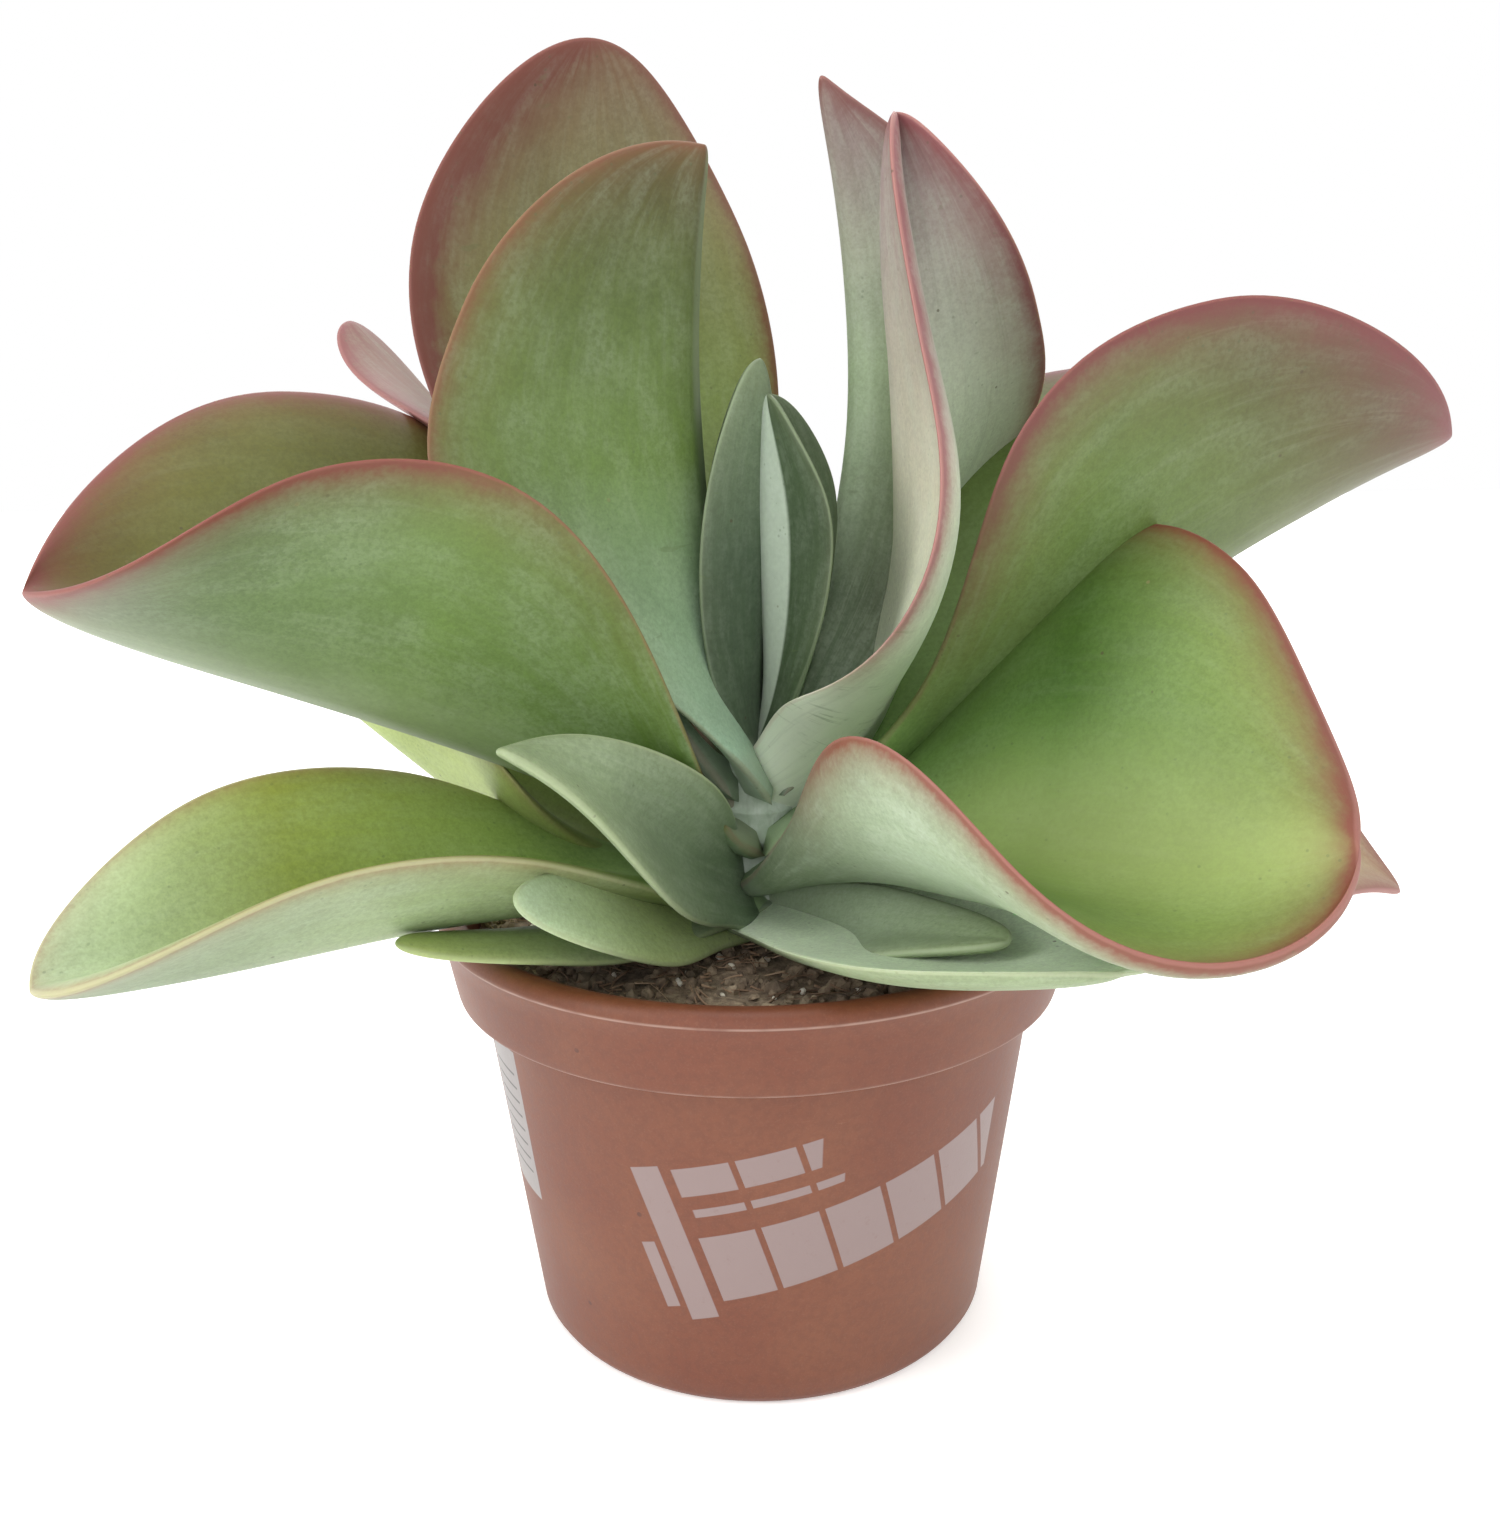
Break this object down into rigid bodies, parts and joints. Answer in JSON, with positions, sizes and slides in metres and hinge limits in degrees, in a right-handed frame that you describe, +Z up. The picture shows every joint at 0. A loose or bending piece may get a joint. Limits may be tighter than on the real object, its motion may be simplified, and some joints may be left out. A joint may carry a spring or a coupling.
{
  "type": "potted paddle plant",
  "caption": "Paddle plant, a succulent rosette of broad fleshy leaves with red margins, standing in a round tapered nursery pot with a rim band and filled with soil.",
  "frame": {"origin": "centre of the pot's flat underside", "axes": "+Z up along the pot's axis, +X to the right seen from the front, +Y to the back"},
  "size_m": [0.2642, 0.2086, 0.2587],
  "materials": {
    "pot": "matte terracotta-coloured moulded plastic",
    "soil": "dark fibrous potting soil with pale grains",
    "stem": "fleshy green with a whitish bloom",
    "leaf": "smooth waxy green leaf with a whitish bloom and red margins"
  },
  "bodies": {
    "root": {"pot": "pot", "soil": "soil", "stem": "stem", "leaf_front_right_wide": "leaf", "leaf_front_left_short": "leaf", "leaf_right_small_upper": "leaf", "leaf_left_small_upper": "leaf", "leaf_right_upright": "leaf", "leaf_inner_right": "leaf", "leaf_inner_left": "leaf", "leaf_left_wide": "leaf", "leaf_right_wide": "leaf", "leaf_left_upright": "leaf", "leaf_left_low": "leaf", "leaf_right_small_lower": "leaf", "leaf_left_small_lower": "leaf", "leaf_inner_small": "leaf", "leaf_back_left_tall": "leaf", "leaf_back_right_upright": "leaf", "leaf_left_under": "leaf", "leaf_back_left_narrow": "leaf", "leaf_right_under": "leaf", "leaf_back_wide": "leaf", "leaf_back_small": "leaf"}
  },
  "joints": []
}
